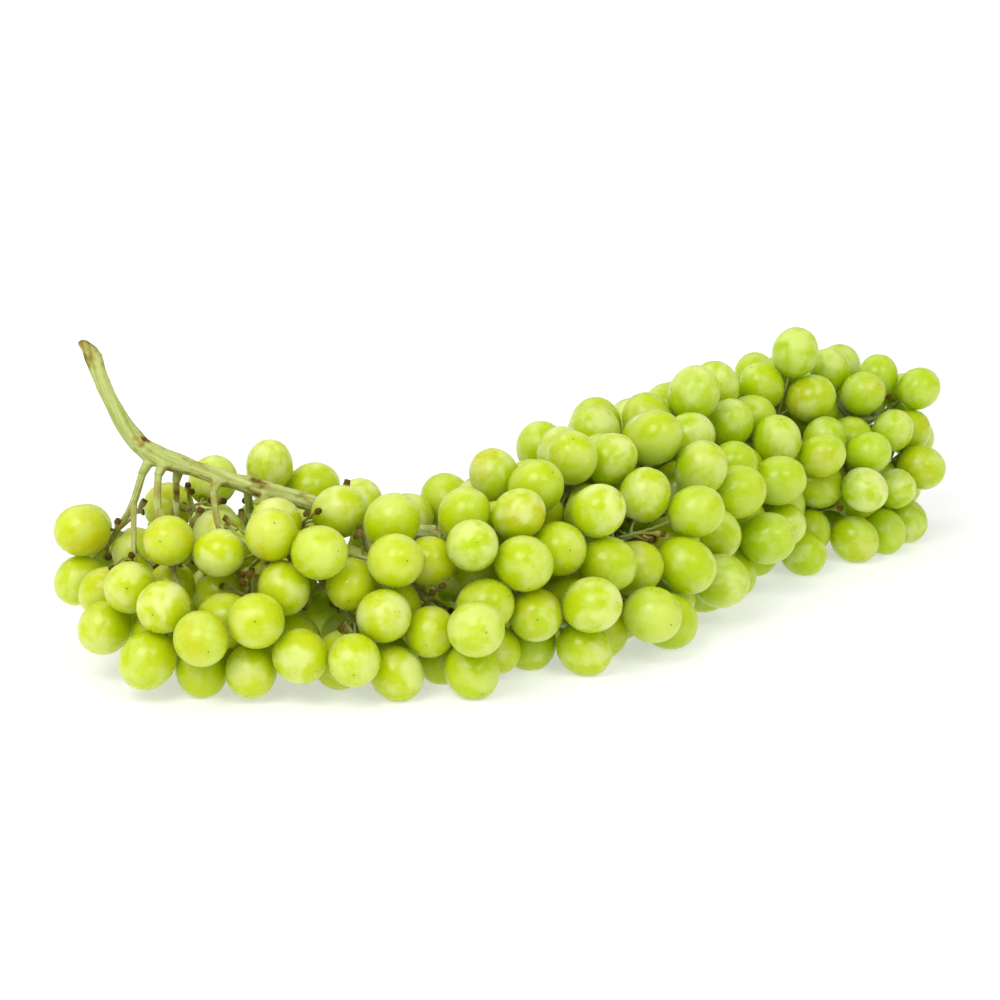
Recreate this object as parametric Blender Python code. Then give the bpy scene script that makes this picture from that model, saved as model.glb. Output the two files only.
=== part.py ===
# A bunch of green grapes, picked, lying on its side on a flat surface.
# Metres, +Z up. The origin is on the surface, under the middle of the bunch, and the bunch runs along +X
# from its cut stalk. Nodes: the rachis with its peduncle, and one spray for each side branch.
import math
import random

import bmesh
import bpy
from mathutils import Vector

MM = 0.001

# Berries
BERRY_RADIUS = 8.1 * MM
BERRY_SIZE_SPREAD = 0.06
MIDDLE_GROWTH = 0.12        # how much larger the berries are round the middle of the bunch
MIDDLE_PLACE = 15 * MM
MIDDLE_REACH = 75 * MM
BERRY_SIDES = 7
BERRY_RINGS = 4
FACET_GROWTH = 1.02         # keeps the faceted berry close to the volume of the round one
KEPT_SHARE = 0.75           # outermost share of each branch's berries that is modelled here
BERRY_SPREAD = 1.55         # how far round its branch's tip a cluster of berries reaches

# Stalks
PEDICEL_LENGTH = 3.6 * MM
PEDICEL_RADIUS = 0.8 * MM
RECEPTACLE_RADIUS = 1.15 * MM
PEDICEL_SIDES = 3
PEDICEL_SINK = 0.45         # share of the berry's radius between its centre and the pedicel's end
PEDICEL_SLANT = 0.18        # how far before its nearest point a pedicel leaves its branch
LATERAL_RADIUS = 1.25 * MM
BRANCH_RADIUS = 1.0 * MM
ELBOW_LENGTH = 3.0 * MM
FORK_SHARE = 0.45
FORK_STEP = 0.15            # how far back along the stalk each further branch leaves it
LEAN_FORKED = 0.5           # how straight a spray's stalk makes for its tips instead of square to the
LEAN_SINGLE = 0.6           # rachis, with several branches and with one
RACHIS_RADIUS = 2.6 * MM
RACHIS_TAPER = 0.40
TAPER_START = 0.35
NODE_SWELL = 0.14
KNEE_SWELL = 0.22
KNEE_REACH = 9 * MM
CUT_END_FLARE = 1.3
CURVE_STEPS = 4

# Fits between pieces
WELD_DISTANCE = 0.0003 * MM
ROOT_GAP = 0.3 * MM         # between the rachis and the foot of each spray
CLEARANCE = 0.5 * MM        # between berries, and between a berry and a stalk
FLOOR_PRESS = 0.6 * MM      # how much of a berry's underside is flattened where it lies

# Settling of the berries
RANDOM_SEED = 2
SETTLE_STEPS = 160
SETTLE_PULL = 0.10
NEIGHBOUR_EVERY = 10
NEIGHBOUR_REACH = 27 * MM
STALK_REACH = 6 * MM
FIRST_ROOT = 9              # no spray leaves the peduncle before this point of its centre line
FIRST_FOOT = 0.28           # no pedicel leaves a branch before this point of it
GOLDEN_ANGLE = math.pi * (3 - math.sqrt(5))
SIDE_GUIDE = (0.31, 0.2, 0.93)
OWNER_SHARE = 0.4           # how much of a clash with a pedicel its own berry gives way
PEDICEL_END = 0.999         # past this share of the pedicel, berry meets berry
TINY = 1e-6

# Moves the two tables below so that the origin is under the middle of the finished bunch's box
CENTRING = (1.1, 6.1, 0)

# Centre line of the stalk in millimetres: cut end, knee, and on through the bunch to its far end
RACHIS = (
    (-162, 28, 102), (-157, 25, 84), (-148, 20, 67), (-134, 11, 60), (-119, 1, 55), (-97, -13, 48),
    (-77, -23, 41), (-42, -28, 35), (-7, -22, 31), (28, -5, 31), (60, 13, 32), (93, 26, 34),
    (123, 32, 37), (146, 36, 40),
)

KNEE = RACHIS[2]

# One row for each spray, in millimetres: where along X it leaves the rachis, then the tip of each of
# its branches with the number of berries that grow round that tip
SPRAYS = (
    (-147, (-160, 25, 33, 5), (-160, -5, 22, 5)),
    (-140, (-152, -33, 20, 5), (-144, -18, 38, 5)),
    (-136, (-141, 40, 18, 5), (-126, 25, 42, 4), (-138, 12, 16, 4)),
    (-126, (-130, -41, 17, 5), (-121, -34, 38, 5)),
    (-120, (-113, 34, 20, 5), (-100, 27, 42, 5), (-114, 2, 16, 4)),
    (-113, (-108, -20, 44, 4)),
    (-106, (-102, -54, 16, 5), (-91, -46, 37, 5), (-96, -22, 16, 4)),
    (-100, (-88, 11, 20, 5), (-77, 3, 34, 4)),
    (-86, (-73, -62, 16, 6), (-61, -54, 40, 5), (-66, -28, 15, 4)),
    (-68, (-56, 7, 20, 5), (-44, -6, 35, 5)),
    (-62, (-43, -61, 16, 5), (-32, -51, 38, 5), (-36, -30, 15, 3)),
    (-52, (-42, -35, 47, 4)),
    (-42, (-22, 7, 20, 5), (-8, 3, 42, 4)),
    (-32, (-10, -53, 15, 5), (4, -41, 35, 5)),
    (-24, (-14, -23, 49, 5)),
    (-6, (6, 19, 20, 5), (21, 22, 38, 5), (-2, -16, 14, 3)),
    (4, (22, -31, 14, 5), (34, -21, 33, 5)),
    (8, (16, -5, 49, 5)),
    (28, (40, 37, 20, 5), (52, 35, 40, 5)),
    (36, (52, -9, 14, 5), (62, -1, 33, 5)),
    (40, (46, 15, 48, 5)),
    (58, (72, 47, 20, 5), (84, 51, 42, 5)),
    (66, (82, 7, 14, 5), (90, 11, 34, 5)),
    (72, (76, 27, 49, 5)),
    (90, (102, 55, 20, 5), (112, 57, 44, 5)),
    (96, (110, 13, 14, 5), (118, 15, 34, 5)),
    (102, (104, 33, 51, 5)),
    (120, (132, 53, 22, 5), (144, 55, 44, 5)),
    (126, (137, 17, 14, 5), (146, 23, 32, 5)),
    (136, (154, 37, 14, 4)),
    (138, (132, 35, 51, 4), (156, 34, 45, 4)),
)

# Finish of each material: base colour, roughness
SKIN_FINISH = ((0.52, 0.62, 0.12, 1.0), 0.32)
STALK_FINISH = ((0.55, 0.60, 0.24, 1.0), 0.55)


def placed(point):
    """A point of the tables, in millimetres, as a place in metres."""
    return [(c + move) * MM for c, move in zip(point, CENTRING)]


def plus(a, b, share=1.0):
    return [p + q * share for p, q in zip(a, b)]


def minus(a, b):
    return [p - q for p, q in zip(a, b)]


def dot(a, b):
    return a[0] * b[0] + a[1] * b[1] + a[2] * b[2]


def cross(a, b):
    return [a[1] * b[2] - a[2] * b[1], a[2] * b[0] - a[0] * b[2], a[0] * b[1] - a[1] * b[0]]


def unit(a):
    length = math.sqrt(dot(a, a))
    return [c / length for c in a]


def smooth_line(points, steps):
    """Points along a smooth curve that passes through all the given points."""
    line = []
    for i in range(len(points) - 1):
        before, here = points[max(i - 1, 0)], points[i]
        there, after = points[i + 1], points[min(i + 2, len(points) - 1)]
        for k in range(steps):
            t = k / steps
            line.append([0.5 * (2 * q + (r - p) * t + (2 * p - 5 * q + 4 * r - s) * t * t
                                + (3 * q - p - 3 * r + s) * t ** 3)
                         for p, q, r, s in zip(before, here, there, after)])
    line.append(list(points[-1]))
    return line


def nearest_on(point, start, end):
    """The point of a segment that is nearest to a point, and its share of the way along."""
    run = minus(end, start)
    t = min(1.0, max(0.0, dot(minus(point, start), run) / dot(run, run)))
    return plus(start, run, t), t


def root_index(line, root_x):
    return min(range(FIRST_ROOT, len(line)), key=lambda k: abs(line[k][0] - root_x))


def rachis_radii(line):
    """Radius of the rachis at each point: tapering, swollen at the knee, at each root and at its cut."""
    roots = {root_index(line, placed(row[:1])[0]) for row in SPRAYS}
    radii = []
    for i, place in enumerate(line):
        t = i / (len(line) - 1)
        radius = RACHIS_RADIUS * (1 - RACHIS_TAPER * max(0, (t - TAPER_START) / (1 - TAPER_START)))
        if i in roots:
            radius *= 1 + NODE_SWELL
        away = (place[0] - placed(KNEE)[0]) / KNEE_REACH
        radii.append(radius * (1 + KNEE_SWELL * math.exp(-away * away)))
    radii[0] *= CUT_END_FLARE
    return radii


def spray_stalks(line, radii, root_x, tips):
    """The stalk of a spray from the rachis to its fork, and a branch from it to each tip."""
    i = root_index(line, root_x)
    root = line[i]
    forward = unit(minus(line[min(i + 1, len(line) - 1)], line[i - 1]))
    middle = [sum(c) / len(tips) for c in zip(*tips)]
    out = minus(middle, root)
    side = unit(minus(out, [c * dot(out, forward) for c in forward]))
    reach = math.sqrt(dot(out, out))
    start = plus(root, side, radii[i] + ROOT_GAP)
    elbow = plus(start, side, ELBOW_LENGTH)
    lean = LEAN_FORKED if len(tips) > 1 else LEAN_SINGLE
    fork = plus(plus(root, out, FORK_SHARE * lean), side, FORK_SHARE * (1 - lean) * reach)
    back = minus(elbow, fork)
    return [start, elbow, fork], [[plus(fork, back, FORK_STEP * k), tip] for k, tip in enumerate(tips)]


def pedicel_foot(berry):
    """Where a berry's pedicel leaves its branch: a little before the nearest point."""
    fork, tip = berry["branch"]
    place = nearest_on(berry["centre"], fork, tip)[1]
    return plus(fork, minus(tip, fork), max(FIRST_FOOT, place - PEDICEL_SLANT))


def grow_sprays(line, radii):
    """Stalks and unsettled berries of every spray, and all the stalks as round bars."""
    draw = random.Random(RANDOM_SEED)
    bars = list(zip(line, line[1:], radii))
    sprays = []
    for root, *ends in SPRAYS:
        tips = [placed(end[:3]) for end in ends]
        stalk, branches = spray_stalks(line, radii, placed([root])[0], tips)
        bars += [(a, b, LATERAL_RADIUS) for a, b in zip(stalk, stalk[1:])]
        berries = []
        for branch, end in zip(branches, ends):
            bars.append((branch[0], branch[1], LATERAL_RADIUS))
            berries += berries_round_tip(branch, end[3], draw)
        sprays.append({"stalk": stalk, "branches": branches, "berries": berries})
    return sprays, bars


def berries_round_tip(branch, count, draw):
    """Berries on a golden spiral over a cap round a branch's tip, outermost first."""
    axis = unit(minus(branch[1], branch[0]))
    across = unit(cross(axis, SIDE_GUIDE))
    over = cross(axis, across)
    turn = draw.uniform(0, 2 * math.pi)
    away = (branch[1][0] - MIDDLE_PLACE) / MIDDLE_REACH
    grown = BERRY_RADIUS * (1 + MIDDLE_GROWTH * math.exp(-away * away))
    berries = []
    for k in range(count):
        height = 1 - (k + 0.5) * BERRY_SPREAD / count
        width = math.sqrt(1 - height * height)
        angle = turn + k * GOLDEN_ANGLE
        radius = grown * (1 + draw.uniform(-BERRY_SIZE_SPREAD, BERRY_SIZE_SPREAD))
        way = [axis[m] * height + (across[m] * math.cos(angle) + over[m] * math.sin(angle)) * width
               for m in range(3)]
        home = plus(branch[1], way, radius + PEDICEL_LENGTH)
        berries.append({"centre": home, "home": home, "radius": radius, "branch": branch,
                        "kept": k < round(KEPT_SHARE * count)})
        berries[-1]["foot"] = pedicel_foot(berries[-1])
    return berries


def part_berries(a, b):
    """Move two berries apart until they clear each other."""
    need = a["radius"] + b["radius"] + CLEARANCE
    distance = math.dist(a["centre"], b["centre"])
    if distance < need:
        share = 0.5 * (need - distance) / distance
        away = minus(a["centre"], b["centre"])
        a["centre"] = plus(a["centre"], away, share)
        b["centre"] = plus(b["centre"], away, -share)


def clear_pedicel(owner, other):
    """Move a berry off another berry's pedicel, and that berry a little the other way."""
    q, t = nearest_on(other["centre"], owner["foot"], owner["centre"])
    distance = math.dist(q, other["centre"])
    need = other["radius"] + PEDICEL_RADIUS + CLEARANCE
    if distance < need and t < PEDICEL_END:
        away = minus(other["centre"], q)
        share = (need - distance) / max(distance, TINY)
        other["centre"] = plus(other["centre"], away, (1 - OWNER_SHARE) * share)
        owner["centre"] = plus(owner["centre"], away, -OWNER_SHARE * share)


def clear_bar(berry, bar):
    """Move a berry off a stalk."""
    q, t = nearest_on(berry["centre"], bar[0], bar[1])
    distance = math.dist(q, berry["centre"])
    need = berry["radius"] + bar[2] + CLEARANCE
    if distance < need:
        berry["centre"] = plus(berry["centre"], minus(berry["centre"], q),
                               (need - distance) / max(distance, TINY))


def settle(berries, bars):
    """Crowd the berries together as they grow: pulled home, kept apart, off the stalks and the floor."""
    for step in range(SETTLE_STEPS):
        pull = SETTLE_PULL * (1 - step / SETTLE_STEPS)
        for berry in berries:
            berry["centre"] = plus(berry["centre"], minus(berry["home"], berry["centre"]), pull)
            berry["foot"] = pedicel_foot(berry)
        if step % NEIGHBOUR_EVERY == 0:
            close = [(a, b) for i, a in enumerate(berries) for b in berries[:i]
                     if math.dist(a["centre"], b["centre"]) < NEIGHBOUR_REACH]
            near = [(berry, bar) for berry in berries for bar in bars
                    if math.dist(berry["centre"], nearest_on(berry["centre"], bar[0], bar[1])[0])
                    < berry["radius"] + bar[2] + STALK_REACH]
        for a, b in close:
            part_berries(a, b)
        for a, b in close:
            clear_pedicel(a, b)
            clear_pedicel(b, a)
        for berry, bar in near:
            clear_bar(berry, bar)
        for berry in berries:
            berry["centre"][2] = max(berry["centre"][2], berry["radius"] - FLOOR_PRESS)
    for berry in berries:
        berry["foot"] = pedicel_foot(berry)


def new_material(name, finish):
    colour, roughness = finish
    material = bpy.data.materials.new(name)
    material.use_nodes = True
    shader = material.node_tree.nodes["Principled BSDF"]
    shader.inputs["Base Color"].default_value = colour
    shader.inputs["Roughness"].default_value = roughness
    shader.inputs["Metallic"].default_value = 0.0
    material.diffuse_color = colour
    return material


def move_to(obj, collection):
    for other in list(obj.users_collection):
        other.objects.unlink(obj)
    collection.objects.link(obj)


def tube(name, points, radii, resolution, material, collection):
    """A closed tube along the points, as a mesh with its caps welded."""
    curve = bpy.data.curves.new(name, "CURVE")
    curve.dimensions = "3D"
    curve.bevel_depth = 1.0
    curve.bevel_resolution = resolution
    curve.use_fill_caps = True
    spline = curve.splines.new("POLY")
    spline.points.add(len(points) - 1)
    for point, place, radius in zip(spline.points, points, radii):
        point.co = (*place, 1.0)
        point.radius = radius
    guide = bpy.data.objects.new(name, curve)
    bpy.context.scene.collection.objects.link(guide)
    bpy.context.view_layer.update()
    evaluated = guide.evaluated_get(bpy.context.evaluated_depsgraph_get())
    mesh = bpy.data.meshes.new_from_object(evaluated)
    bpy.data.objects.remove(guide)
    bpy.data.curves.remove(curve)
    mesh.name = name
    mesh.materials.clear()
    mesh.materials.append(material)
    weld(mesh)
    obj = bpy.data.objects.new(name, mesh)
    collection.objects.link(obj)
    return obj


def weld(mesh):
    """Merge points closer than the weld distance."""
    bm = bmesh.new()
    bm.from_mesh(mesh)
    bmesh.ops.remove_doubles(bm, verts=bm.verts, dist=WELD_DISTANCE)
    bmesh.ops.recalc_face_normals(bm, faces=bm.faces)
    bm.to_mesh(mesh)
    bm.free()


def add_berry(berry, material, collection):
    """A faceted berry, turned so that the middle of one of its faces meets its pedicel."""
    across, up = math.pi / BERRY_SIDES, math.pi / BERRY_RINGS / 2
    face = Vector((math.cos(across) * math.cos(up), math.sin(across) * math.cos(up), math.sin(up)))
    to_foot = Vector(minus(berry["foot"], berry["centre"])).normalized()
    bpy.ops.mesh.primitive_uv_sphere_add(segments=BERRY_SIDES, ring_count=BERRY_RINGS,
                                         radius=berry["radius"] * FACET_GROWTH)
    obj = bpy.context.object
    obj.data.materials.append(material)
    obj.rotation_euler = face.rotation_difference(to_foot).to_euler()
    obj.location = berry["centre"]
    move_to(obj, collection)


def add_pedicel(berry, material, collection):
    """A berry's own stalk, wider at the berry, sunk into both its branch and the berry."""
    foot, centre = Vector(berry["foot"]), Vector(berry["centre"])
    axis = (centre - foot).normalized()
    end = centre - axis * berry["radius"] * PEDICEL_SINK
    bpy.ops.mesh.primitive_cone_add(vertices=PEDICEL_SIDES, radius1=PEDICEL_RADIUS,
                                    radius2=RECEPTACLE_RADIUS, depth=(end - foot).length)
    obj = bpy.context.object
    obj.data.materials.append(material)
    obj.rotation_euler = axis.to_track_quat("Z", "Y").to_euler()
    obj.location = (foot + end) / 2
    move_to(obj, collection)


def fuse(obj, pieces):
    """Join a collection of overlapping pieces to an object, and remove them."""
    joint = obj.modifiers.new("Join", "BOOLEAN")
    joint.operation = "UNION"
    joint.solver = "EXACT"
    joint.operand_type = "COLLECTION"
    joint.collection = pieces
    bpy.context.view_layer.update()
    evaluated = obj.evaluated_get(bpy.context.evaluated_depsgraph_get())
    mesh = bpy.data.meshes.new_from_object(evaluated)
    obj.modifiers.clear()
    weld(mesh)
    obj.data = mesh
    mesh.name = obj.name
    for piece in list(pieces.objects):
        bpy.data.objects.remove(piece)
    bpy.data.collections.remove(pieces)


def flatten_underside(mesh):
    """Cut the berries that lie on the floor flat at its height, and close them."""
    bm = bmesh.new()
    bm.from_mesh(mesh)
    cut = bmesh.ops.bisect_plane(bm, geom=bm.verts[:] + bm.edges[:] + bm.faces[:], dist=1e-7,
                                 plane_co=(0, 0, 0), plane_no=(0, 0, -1), clear_outer=True)
    rims = [e for e in cut["geom_cut"] if isinstance(e, bmesh.types.BMEdge) and e.is_boundary]
    if rims:
        bmesh.ops.holes_fill(bm, edges=rims, sides=0)
    bmesh.ops.recalc_face_normals(bm, faces=bm.faces)
    bm.to_mesh(mesh)
    bm.free()


def make_spray(number, spray, skin, stalk, collection):
    """One side branch of the rachis with its pedicels and berries, fused into one body."""
    first = spray["branches"][0]
    name = f"spray_{number:02d}"
    line = spray["stalk"] + first[1:]
    obj = tube(name, line, [LATERAL_RADIUS] * 3 + [BRANCH_RADIUS], 0, stalk, collection)
    pieces = bpy.data.collections.new(name + "_pieces")
    bpy.context.scene.collection.children.link(pieces)
    for branch in spray["branches"][1:]:
        tube(name + "_branch", branch, [BRANCH_RADIUS] * 2, 0, stalk, pieces)
    for berry in spray["berries"]:
        if berry["kept"]:
            add_pedicel(berry, stalk, pieces)
            add_berry(berry, skin, pieces)
    fuse(obj, pieces)
    flatten_underside(obj.data)
    return obj


def main():
    for obj in list(bpy.data.objects):
        bpy.data.objects.remove(obj)
    grapes = bpy.data.collections.new("bunch_of_grapes")
    bpy.context.scene.collection.children.link(grapes)
    skin = new_material("grape_skin", SKIN_FINISH)
    stalk = new_material("green_stalk", STALK_FINISH)
    line = smooth_line([placed(point) for point in RACHIS], CURVE_STEPS)
    radii = rachis_radii(line)
    sprays, bars = grow_sprays(line, radii)
    settle([berry for spray in sprays for berry in spray["berries"]], bars)
    rachis = tube("rachis", line, radii, 2, stalk, grapes)
    for number, spray in enumerate(sprays, 1):
        obj = make_spray(number, spray, skin, stalk, grapes)
        obj.parent = rachis


main()
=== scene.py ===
import math
import random

import bpy
import numpy as np
from mathutils import Matrix, Vector, noise


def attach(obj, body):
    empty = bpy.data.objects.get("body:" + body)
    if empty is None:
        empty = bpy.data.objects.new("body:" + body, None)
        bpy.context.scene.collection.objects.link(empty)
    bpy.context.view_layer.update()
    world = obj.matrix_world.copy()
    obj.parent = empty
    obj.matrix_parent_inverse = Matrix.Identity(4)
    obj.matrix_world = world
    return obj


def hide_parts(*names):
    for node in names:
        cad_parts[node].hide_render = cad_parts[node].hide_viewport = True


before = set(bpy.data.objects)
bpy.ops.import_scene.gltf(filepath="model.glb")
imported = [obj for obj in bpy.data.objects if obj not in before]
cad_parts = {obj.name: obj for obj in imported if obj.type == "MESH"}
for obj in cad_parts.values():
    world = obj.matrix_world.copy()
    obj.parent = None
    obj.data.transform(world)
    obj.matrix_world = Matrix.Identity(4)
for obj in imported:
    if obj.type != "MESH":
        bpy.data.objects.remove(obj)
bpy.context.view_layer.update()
mm = 0.001
body = "root"

# The bunch's layout. It is the rule that the solid sprays follow, so every berry and stalk here
# lies where its solid one does.
bunch = {
    "berryRadius": 8.1 * mm,
    "sizeSpread": 0.06,
    "middleGrowth": 0.12,         # how much larger the berries are round the middle of the bunch
    "middlePlace": 15 * mm,
    "middleReach": 75 * mm,
    "berrySpread": 1.55,          # how far round its branch's tip a cluster of berries reaches
    "pedicelLength": 3.6 * mm,
    "pedicelRadius": 0.8 * mm,
    "pedicelSlant": 0.18,
    "lateralRadius": 1.25 * mm,
    "elbowLength": 3.0 * mm,
    "forkShare": 0.45,
    "forkStep": 0.15,
    "leanForked": 0.5,
    "leanSingle": 0.6,
    "rachisRadius": 2.6 * mm,
    "rachisTaper": 0.40,
    "taperStart": 0.35,
    "nodeSwell": 0.14,
    "kneeSwell": 0.22,
    "kneeReach": 9 * mm,
    "cutEndFlare": 1.3,
    "curveSteps": 4,
    "rootGap": 0.3 * mm,
    "clearance": 0.5 * mm,
    "floorPress": 0.6 * mm,
    "seed": 2,
    "settleSteps": 160,
    "settlePull": 0.10,
    "neighbourEvery": 10,
    "neighbourReach": 27 * mm,
    "stalkReach": 6 * mm,
    "firstRoot": 9,
    "firstFoot": 0.28,
    "sideGuide": (0.31, 0.2, 0.93),
    "ownerShare": 0.4,
    "pedicelEnd": 0.999,
    "tiny": 1e-6,
    "centring": (1.1, 6.1, 0),    # in millimetres, as the points and rows below are
}
goldenAngle = math.pi * (3 - math.sqrt(5))

# centre line of the stalk: cut end, knee, and on through the bunch to its far end
rachisPoints = (
    (-162, 28, 102), (-157, 25, 84), (-148, 20, 67), (-134, 11, 60), (-119, 1, 55), (-97, -13, 48),
    (-77, -23, 41), (-42, -28, 35), (-7, -22, 31), (28, -5, 31), (60, 13, 32), (93, 26, 34),
    (123, 32, 37), (146, 36, 40),
)
knee = rachisPoints[2]

# for each spray, where along X it leaves the rachis, then each branch's tip with its count of berries
sprayRows = (
    (-147, (-160, 25, 33, 5), (-160, -5, 22, 5)),
    (-140, (-152, -33, 20, 5), (-144, -18, 38, 5)),
    (-136, (-141, 40, 18, 5), (-126, 25, 42, 4), (-138, 12, 16, 4)),
    (-126, (-130, -41, 17, 5), (-121, -34, 38, 5)),
    (-120, (-113, 34, 20, 5), (-100, 27, 42, 5), (-114, 2, 16, 4)),
    (-113, (-108, -20, 44, 4)),
    (-106, (-102, -54, 16, 5), (-91, -46, 37, 5), (-96, -22, 16, 4)),
    (-100, (-88, 11, 20, 5), (-77, 3, 34, 4)),
    (-86, (-73, -62, 16, 6), (-61, -54, 40, 5), (-66, -28, 15, 4)),
    (-68, (-56, 7, 20, 5), (-44, -6, 35, 5)),
    (-62, (-43, -61, 16, 5), (-32, -51, 38, 5), (-36, -30, 15, 3)),
    (-52, (-42, -35, 47, 4)),
    (-42, (-22, 7, 20, 5), (-8, 3, 42, 4)),
    (-32, (-10, -53, 15, 5), (4, -41, 35, 5)),
    (-24, (-14, -23, 49, 5)),
    (-6, (6, 19, 20, 5), (21, 22, 38, 5), (-2, -16, 14, 3)),
    (4, (22, -31, 14, 5), (34, -21, 33, 5)),
    (8, (16, -5, 49, 5)),
    (28, (40, 37, 20, 5), (52, 35, 40, 5)),
    (36, (52, -9, 14, 5), (62, -1, 33, 5)),
    (40, (46, 15, 48, 5)),
    (58, (72, 47, 20, 5), (84, 51, 42, 5)),
    (66, (82, 7, 14, 5), (90, 11, 34, 5)),
    (72, (76, 27, 49, 5)),
    (90, (102, 55, 20, 5), (112, 57, 44, 5)),
    (96, (110, 13, 14, 5), (118, 15, 34, 5)),
    (102, (104, 33, 51, 5)),
    (120, (132, 53, 22, 5), (144, 55, 44, 5)),
    (126, (137, 17, 14, 5), (146, 23, 32, 5)),
    (136, (154, 37, 14, 4)),
    (138, (132, 35, 51, 4), (156, 34, 45, 4)),
)


def placed(point):
    return [(c + move) * mm for c, move in zip(point, bunch["centring"])]


def plus(a, b, share=1.0):
    return [p + q * share for p, q in zip(a, b)]


def minus(a, b):
    return [p - q for p, q in zip(a, b)]


def dot(a, b):
    return a[0] * b[0] + a[1] * b[1] + a[2] * b[2]


def cross(a, b):
    return [a[1] * b[2] - a[2] * b[1], a[2] * b[0] - a[0] * b[2], a[0] * b[1] - a[1] * b[0]]


def unit(a):
    length = math.sqrt(dot(a, a))
    return [c / length for c in a]


# points along a smooth curve that passes through all the given points
def smoothLine(points, steps):
    line = []
    for i in range(len(points) - 1):
        before, here = points[max(i - 1, 0)], points[i]
        there, after = points[i + 1], points[min(i + 2, len(points) - 1)]
        for k in range(steps):
            t = k / steps
            line.append([0.5 * (2 * q + (r - p) * t + (2 * p - 5 * q + 4 * r - s) * t * t
                                + (3 * q - p - 3 * r + s) * t ** 3)
                         for p, q, r, s in zip(before, here, there, after)])
    line.append(list(points[-1]))
    return line


def nearestOn(point, start, end):
    run = minus(end, start)
    t = min(1.0, max(0.0, dot(minus(point, start), run) / dot(run, run)))
    return plus(start, run, t), t


def rootIndex(line, rootX):
    return min(range(bunch["firstRoot"], len(line)), key=lambda k: abs(line[k][0] - rootX))


def rachisRadii(line):
    roots = {rootIndex(line, placed(row[:1])[0]) for row in sprayRows}
    radii = []
    for i, place in enumerate(line):
        t = i / (len(line) - 1)
        taper = bunch["rachisTaper"] * max(0, (t - bunch["taperStart"]) / (1 - bunch["taperStart"]))
        radius = bunch["rachisRadius"] * (1 - taper)
        if i in roots:
            radius *= 1 + bunch["nodeSwell"]
        away = (place[0] - placed(knee)[0]) / bunch["kneeReach"]
        radii.append(radius * (1 + bunch["kneeSwell"] * math.exp(-away * away)))
    radii[0] *= bunch["cutEndFlare"]
    return radii


# a spray's stalk from the rachis to its fork, and a branch from it to each tip
def sprayStalks(line, radii, rootX, tips):
    i = rootIndex(line, rootX)
    root = line[i]
    forward = unit(minus(line[min(i + 1, len(line) - 1)], line[i - 1]))
    middle = [sum(c) / len(tips) for c in zip(*tips)]
    out = minus(middle, root)
    side = unit(minus(out, [c * dot(out, forward) for c in forward]))
    reach = math.sqrt(dot(out, out))
    start = plus(root, side, radii[i] + bunch["rootGap"])
    elbow = plus(start, side, bunch["elbowLength"])
    lean = bunch["leanForked"] if len(tips) > 1 else bunch["leanSingle"]
    fork = plus(plus(root, out, bunch["forkShare"] * lean), side, bunch["forkShare"] * (1 - lean) * reach)
    back = minus(elbow, fork)
    branches = [[plus(fork, back, bunch["forkStep"] * k), tip] for k, tip in enumerate(tips)]
    return root, [start, elbow, fork], branches


# a pedicel leaves its branch a little before the point nearest to its berry
def pedicelFoot(berry):
    fork, tip = berry["branch"]
    place = nearestOn(berry["centre"], fork, tip)[1]
    return plus(fork, minus(tip, fork), max(bunch["firstFoot"], place - bunch["pedicelSlant"]))


# berries on a golden spiral over a cap round a branch's tip, outermost first
def berriesRoundTip(branch, count, draw):
    axis = unit(minus(branch[1], branch[0]))
    across = unit(cross(axis, bunch["sideGuide"]))
    over = cross(axis, across)
    turn = draw.uniform(0, 2 * math.pi)
    away = (branch[1][0] - bunch["middlePlace"]) / bunch["middleReach"]
    grown = bunch["berryRadius"] * (1 + bunch["middleGrowth"] * math.exp(-away * away))
    berries = []
    for k in range(count):
        height = 1 - (k + 0.5) * bunch["berrySpread"] / count
        width = math.sqrt(1 - height * height)
        angle = turn + k * goldenAngle
        radius = grown * (1 + draw.uniform(-bunch["sizeSpread"], bunch["sizeSpread"]))
        way = [axis[m] * height + (across[m] * math.cos(angle) + over[m] * math.sin(angle)) * width
               for m in range(3)]
        home = plus(branch[1], way, radius + bunch["pedicelLength"])
        berries.append({"centre": home, "home": home, "radius": radius, "branch": branch})
        berries[-1]["foot"] = pedicelFoot(berries[-1])
    return berries


def growSprays(line, radii):
    draw = random.Random(bunch["seed"])
    bars = list(zip(line, line[1:], radii))
    sprays = []
    for rootX, *ends in sprayRows:
        tips = [placed(end[:3]) for end in ends]
        root, stalk, branches = sprayStalks(line, radii, placed([rootX])[0], tips)
        bars += [(a, b, bunch["lateralRadius"]) for a, b in zip(stalk, stalk[1:])]
        berries = []
        for branch, end in zip(branches, ends):
            bars.append((branch[0], branch[1], bunch["lateralRadius"]))
            berries += berriesRoundTip(branch, end[3], draw)
        sprays.append({"root": root, "stalk": stalk, "branches": branches, "berries": berries})
    return sprays, bars


def partBerries(a, b):
    need = a["radius"] + b["radius"] + bunch["clearance"]
    distance = math.dist(a["centre"], b["centre"])
    if distance < need:
        share = 0.5 * (need - distance) / distance
        away = minus(a["centre"], b["centre"])
        a["centre"] = plus(a["centre"], away, share)
        b["centre"] = plus(b["centre"], away, -share)


def clearPedicel(owner, other):
    q, t = nearestOn(other["centre"], owner["foot"], owner["centre"])
    distance = math.dist(q, other["centre"])
    need = other["radius"] + bunch["pedicelRadius"] + bunch["clearance"]
    if distance < need and t < bunch["pedicelEnd"]:
        away = minus(other["centre"], q)
        share = (need - distance) / max(distance, bunch["tiny"])
        other["centre"] = plus(other["centre"], away, (1 - bunch["ownerShare"]) * share)
        owner["centre"] = plus(owner["centre"], away, -bunch["ownerShare"] * share)


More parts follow.
